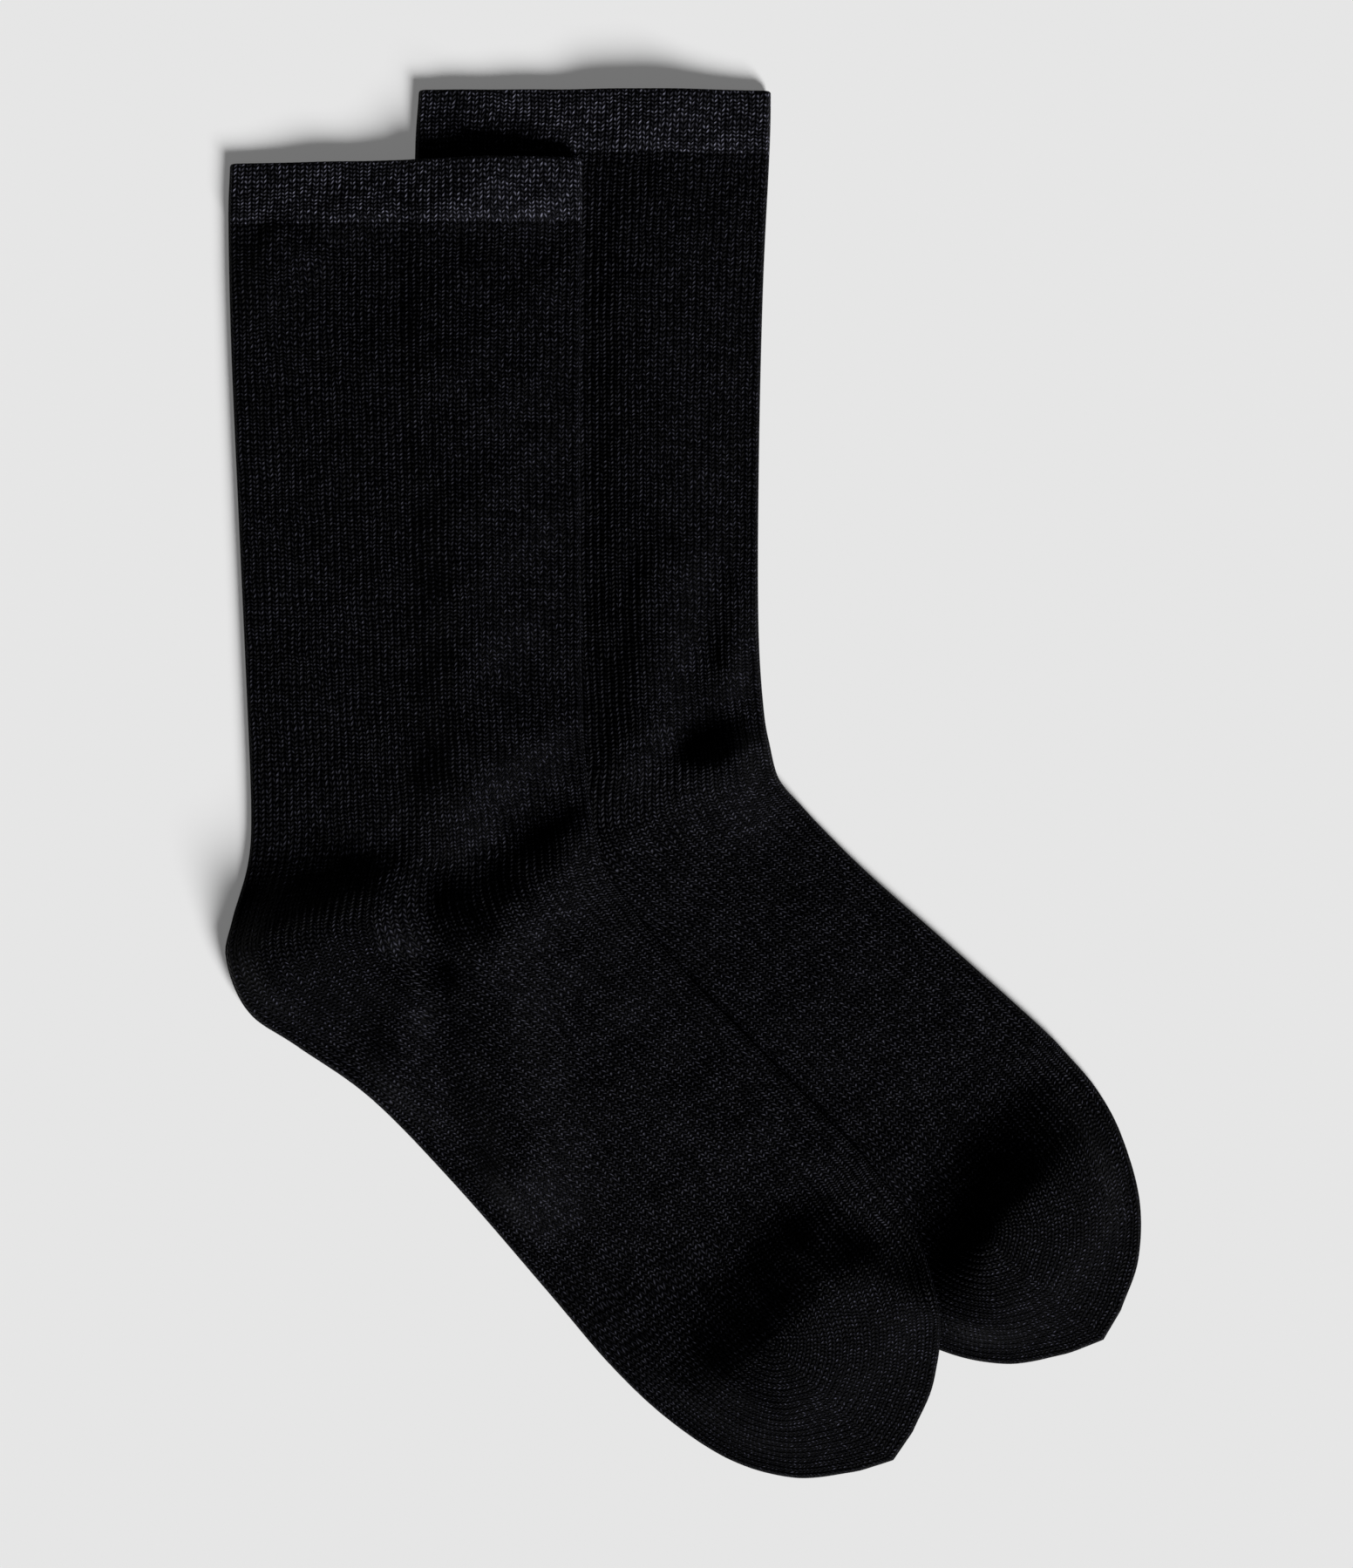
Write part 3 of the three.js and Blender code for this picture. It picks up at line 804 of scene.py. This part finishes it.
def knit_material(name, colour, sheen, relief, fleck):
    """Plain jersey of combed cotton with a little elastane, near black.

    The wales are in the mesh. Here each stitch is a V of two slanting legs, whose tops get a painted
    highlight and whose gaps get painted shade near black, and the yarn's short fibres give it a soft grey
    sheen. The higher the fleck, the fewer and sharper the light spots, both the legs made lighter by chance
    and the painted highlights.
    """
    material = bpy.data.materials.new(name)
    material.use_nodes = True
    tree = material.node_tree
    tree.nodes.clear()
    spot = add(tree, "TexCoord")["Object"]
    drift = add(tree, "TexNoise", {"Vector": spot, "Scale": STRAY_SCALE, "Detail": 3.0})["Color"]
    drift = add(tree, "VectorMath", {0: drift, 1: (0.5, 0.5, 0.5)}, operation="SUBTRACT")[0]
    place = add(tree, "UVMap", uv_map=STITCH_MAP)["UV"]
    place = add(tree, "VectorMath", {0: drift, 1: STRAY, 2: place}, operation="MULTIPLY_ADD")[0]
    place = add(tree, "SeparateXYZ", {0: place})
    across = add(tree, "Math", {0: place["X"]}, operation="FRACT")[0]
    across = add(tree, "Math", {0: across, 1: 0.5}, operation="SUBTRACT")[0]
    across = add(tree, "Math", {0: across}, operation="ABSOLUTE")[0]
    course = add(tree, "Math", {0: across, 1: LEG_SLANT, 2: place["Y"]}, operation="MULTIPLY_ADD")[0]
    leg = add(tree, "Math", {0: across, 1: 2 * math.pi}, operation="MULTIPLY")[0]
    leg = add(tree, "Math", {0: leg}, operation="SINE")[0]
    turn = add(tree, "Math", {0: course, 1: 2 * math.pi}, operation="MULTIPLY")[0]
    turn = add(tree, "Math", {0: turn}, operation="COSINE")[0]
    loop = add(tree, "Math", {0: turn, 1: -LOOP_SWING, 2: LOOP_MIDDLE}, operation="MULTIPLY_ADD")[0]
    height = add(tree, "Math", {0: leg, 1: loop}, operation="MULTIPLY")[0]

    # Each leg of a stitch is a little lighter or darker than the next
    column = add(tree, "Math", {0: place["X"], 1: LEGS_PER_WALE}, operation="MULTIPLY")[0]
    column = add(tree, "Math", {0: column}, operation="FLOOR")[0]
    row = add(tree, "Math", {0: course}, operation="FLOOR")[0]
    cell = add(tree, "CombineXYZ", {"X": column, "Y": row})[0]
    chance = add(tree, "TexWhiteNoise", {"Vector": cell}, noise_dimensions="2D")["Value"]
    chance = add(tree, "Math", {0: chance, 1: fleck}, operation="POWER")[0]

    # Fibres of half a millimetre and finer
    fibre = add(tree, "TexNoise", {"Vector": spot, "Scale": FIBRE_SCALE, "Detail": 2.0})[0]
    tone = add(tree, "Math", {0: chance, 1: TONE_SPREAD, 2: TONE_LEAST}, operation="MULTIPLY_ADD")[0]
    # Painted highlight: the higher a stitch stands, the lighter its colour
    crown_highlight_mask = add(tree, "Math", {0: height, 1: fleck}, operation="POWER")[0]
    tone = add(tree, "Math", {0: tone, 1: crown_highlight_mask}, operation="MULTIPLY")[0]
    tone = add(tree, "Math", {0: tone, 1: fibre}, operation="MULTIPLY", use_clamp=True)[0]
    # The colour runs from painted shade in the gaps to a painted highlight on the tops
    painted_gap_shade = (*[c * GAP_PAINTED_SHADE for c in colour], 1)
    light = (*[c * CROWN_PAINTED_HIGHLIGHT for c in colour], 1)
    yarn = add(tree, "Mix", {"Factor": tone, 6: painted_gap_shade, 7: light}, data_type="RGBA")[2]
    bumps = add(tree, "Math", {0: fibre, 1: FIBRE_RISE, 2: height}, operation="MULTIPLY_ADD")[0]
    normal = add(tree, "Bump", {"Height": bumps, "Distance": relief, "Strength": 1.0})[0]
    finish = {
        "Base Color": yarn,
        "Roughness": 0.5,
        "Specular IOR Level": 0.03,
        "Sheen Weight": sheen,
        "Sheen Roughness": 0.45,
        "Sheen Tint": (0.86, 0.88, 1.0, 1.0),
        "Normal": normal,
    }
    shader = add(tree, "BsdfPrincipled", finish)[0]
    add(tree, "OutputMaterial", {"Surface": shader})
    return material


def floor_material(colour, glow):
    """A matt white light table, which glows a little, so that shadows on it stay pale."""
    material = bpy.data.materials.new("Matt light table")
    material.use_nodes = True
    tree = material.node_tree
    tree.nodes.clear()
    spot = add(tree, "TexCoord")["Object"]
    patch = add(tree, "TexNoise", {"Vector": spot, "Scale": 6.0, "Detail": 3.0})[0]
    sides = [(*[c * share for c in colour], 1) for share in FLOOR_SHADES]
    paint = add(tree, "Mix", {"Factor": patch, 6: sides[0], 7: sides[1]}, data_type="RGBA")[2]
    finish = {
        "Base Color": paint,
        "Roughness": 1.0,
        "Specular IOR Level": 0.0,
        "Emission Color": (*colour, 1),
        "Emission Strength": glow,
    }
    shader = add(tree, "BsdfPrincipled", finish)[0]
    add(tree, "OutputMaterial", {"Surface": shader})
    return material


class SOCKS_OT_cuffs(bpy.types.Operator):
    """Knit the cuffs' double bands."""

    bl_idname = "socks.cuffs"
    bl_label = "Knit cuffs"

    def execute(self, context):
        material = knit_material("Double welt knit", context.scene.sock_colours.welt, **KNITS["welt"])
        for sock in LAYS:
            knit_cuff(sock, material)
        return {"FINISHED"}


class SOCKS_OT_legs(bpy.types.Operator):
    """Knit the legs."""

    bl_idname = "socks.legs"
    bl_label = "Knit legs"

    def execute(self, context):
        material = knit_material("Leg jersey", context.scene.sock_colours.leg, **KNITS["leg"])
        for sock in LAYS:
            knit_leg(sock, material)
        return {"FINISHED"}


class SOCKS_OT_feet(bpy.types.Operator):
    """Knit the feet, with their notches for the heels."""

    bl_idname = "socks.feet"
    bl_label = "Knit feet"

    def execute(self, context):
        material = knit_material("Foot jersey", context.scene.sock_colours.foot, **KNITS["foot"])
        for sock in LAYS:
            knit_foot(sock, material)
        return {"FINISHED"}


class SOCKS_OT_pockets(bpy.types.Operator):
    """Knit the heel and toe pockets."""

    bl_idname = "socks.pockets"
    bl_label = "Knit heels and toes"

    def execute(self, context):
        material = knit_material("Pocket jersey", context.scene.sock_colours.pocket, **KNITS["pocket"])
        for sock in LAYS:
            knit_heel(sock, material)
            knit_toe(sock, material)
        return {"FINISHED"}


class SOCKS_OT_stage(bpy.types.Operator):
    """Set the floor, the lights and the camera."""

    bl_idname = "socks.stage"
    bl_label = "Set the stage"

    def execute(self, context):
        scene = context.scene
        stage = scene.sock_stage
        set_floor(scene)
        set_lights(scene, stage)
        set_camera(scene, stage)
        return {"FINISHED"}


def set_floor(scene):
    mesh = bpy.data.meshes.new("floor")
    bm = bmesh.new()
    bmesh.ops.create_grid(bm, x_segments=1, y_segments=1, size=FLOOR_SIZE / 2)
    bm.to_mesh(mesh)
    bm.free()
    floor = bpy.data.objects.new("floor", mesh)
    mesh.materials.append(floor_material(scene.sock_colours.floor, scene.sock_stage.glow))
    scene.collection.objects.link(floor)


def set_lights(scene, stage):
    """A soft key light from the lower right, and even light from all round."""
    light = bpy.data.lights.new("key", "SUN")
    light.angle = stage.light_spread
    light.energy = stage.key * math.pi / math.sin(stage.light_height)
    key = bpy.data.objects.new("key", light)
    key.rotation_euler = (0, math.pi / 2 - stage.light_height, stage.light_turn)
    scene.collection.objects.link(key)
    world = bpy.data.worlds.new("studio")
    world.use_nodes = True
    world.node_tree.nodes["Background"].inputs["Color"].default_value = (1, 1, 1, 1)
    world.node_tree.nodes["Background"].inputs["Strength"].default_value = stage.ambient
    scene.world = world
    scene.view_settings.view_transform = "Standard"


def set_camera(scene, stage):
    """Straight above, with the picture's height across the sensor."""
    data = bpy.data.cameras.new("camera")
    data.sensor_fit = "VERTICAL"
    data.sensor_height = SENSOR_HEIGHT
    data.lens = stage.lens
    camera = bpy.data.objects.new("camera", data)
    camera.location = (stage.view_x, stage.view_y, stage.view_height * data.lens / data.sensor_height)
    scene.collection.objects.link(camera)
    scene.camera = camera


class SOCKS_PT_panel(bpy.types.Panel):
    bl_idname = "SOCKS_PT_panel"
    bl_label = "Crew socks"
    bl_space_type = "VIEW_3D"
    bl_region_type = "UI"
    bl_category = "Socks"

    def draw(self, context):
        for group in ("sock_knit", "sock_colours", "sock_stage"):
            settings = getattr(context.scene, group)
            for name in settings.__annotations__:
                self.layout.prop(settings, name)
        for operator in OPERATORS:
            self.layout.operator(operator.bl_idname)


GROUPS = {"sock_knit": SockKnit, "sock_colours": SockColours, "sock_stage": SockStage}
OPERATORS = (SOCKS_OT_cuffs, SOCKS_OT_legs, SOCKS_OT_feet, SOCKS_OT_pockets, SOCKS_OT_stage)
CLASSES = (*GROUPS.values(), *OPERATORS, SOCKS_PT_panel)


def register():
    for kind in CLASSES:
        bpy.utils.register_class(kind)
    for name, group in GROUPS.items():
        setattr(bpy.types.Scene, name, bpy.props.PointerProperty(type=group))


def unregister():
    for name in GROUPS:
        delattr(bpy.types.Scene, name)
    for kind in reversed(CLASSES):
        bpy.utils.unregister_class(kind)


def main():
    register()
    bpy.ops.socks.cuffs()
    bpy.ops.socks.legs()
    bpy.ops.socks.feet()
    bpy.ops.socks.pockets()
    bpy.ops.socks.stage()


if __name__ == "__main__":
    main()
